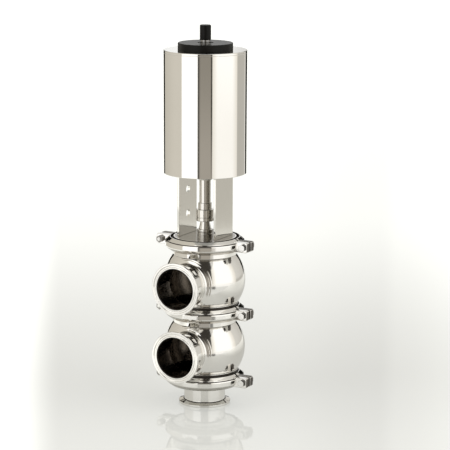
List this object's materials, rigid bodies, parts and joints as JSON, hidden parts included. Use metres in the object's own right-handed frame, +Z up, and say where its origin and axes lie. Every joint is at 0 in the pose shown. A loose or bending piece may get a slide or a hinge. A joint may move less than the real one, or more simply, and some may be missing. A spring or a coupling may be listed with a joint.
{
  "type": "pneumatic shut-off valve",
  "caption": "Sanitary pneumatic seat valve: polished air actuator on a plate yoke over two ball bodies with clamped joints, side clamp ports and a bottom clamp port.",
  "frame": {"origin": "centre of the bottom ferrule's sealing face, where the valve stands", "axes": "+Z up along the stem, side ports towards -Y, yoke plates and clamp ears at +X and -X"},
  "size_m": [0.127, 0.1248, 0.4705],
  "materials": {
    "polished_steel": "polished stainless steel",
    "brushed_steel": "brushed stainless sheet",
    "fastener_steel": "bright stainless fasteners",
    "spring_steel": "oiled spring wire",
    "piston_alloy": "turned aluminium",
    "black_plastic": "black moulded plastic",
    "bearing_plastic": "natural bearing plastic",
    "seal_rubber": "black moulded rubber"
  },
  "bodies": {
    "valve_body": {"bottom_ferrule": "polished_steel", "bottom_flange": "polished_steel", "lower_body": "polished_steel", "lower_flange_under": "polished_steel", "lower_flange_top": "polished_steel", "lower_port": "polished_steel", "upper_body": "polished_steel", "upper_flange_under": "polished_steel", "upper_flange_top": "polished_steel", "upper_port": "polished_steel", "lower_gasket": "seal_rubber", "middle_gasket": "seal_rubber", "upper_gasket": "seal_rubber", "seat_ring": "polished_steel", "lower_clamp_front": "polished_steel", "lower_clamp_rear": "polished_steel", "lower_clamp_bolts": "fastener_steel", "lower_clamp_nuts": "fastener_steel", "middle_clamp_front": "polished_steel", "middle_clamp_rear": "polished_steel", "middle_clamp_bolts": "fastener_steel", "middle_clamp_nuts": "fastener_steel", "upper_clamp_front": "polished_steel", "upper_clamp_rear": "polished_steel", "upper_clamp_bolts": "fastener_steel", "upper_clamp_nuts": "fastener_steel", "bonnet": "polished_steel", "gland": "polished_steel", "stem_bush": "bearing_plastic", "stem_seal": "seal_rubber", "yoke_left": "brushed_steel", "yoke_right": "brushed_steel", "actuator_base": "piston_alloy", "base_seal": "seal_rubber", "rod_bush": "bearing_plastic", "rod_seal": "seal_rubber", "actuator_tube": "polished_steel", "actuator_cover": "polished_steel", "cover_bush": "bearing_plastic", "cap": "black_plastic", "spring": "spring_steel"},
    "stem_group": {"plug": "polished_steel", "plug_seal_lower": "seal_rubber", "plug_seal_upper": "seal_rubber", "valve_stem": "polished_steel", "coupling_front": "polished_steel", "coupling_rear": "polished_steel", "coupling_screws": "fastener_steel", "actuator_rod": "polished_steel", "piston": "piston_alloy", "piston_seal": "seal_rubber", "piston_band": "bearing_plastic", "rod_nut": "fastener_steel", "indicator_rod": "polished_steel", "indicator_knob": "black_plastic"}
  },
  "joints": [
    {"name": "valve_stroke", "type": "slide", "parent": "valve_body", "child": "stem_group", "axis": [0, 0, 1], "range_m": [0, 0.027], "stiffness_N_per_m": 1000, "springref_m": -0.05, "deforming": ["spring"]}
  ]
}
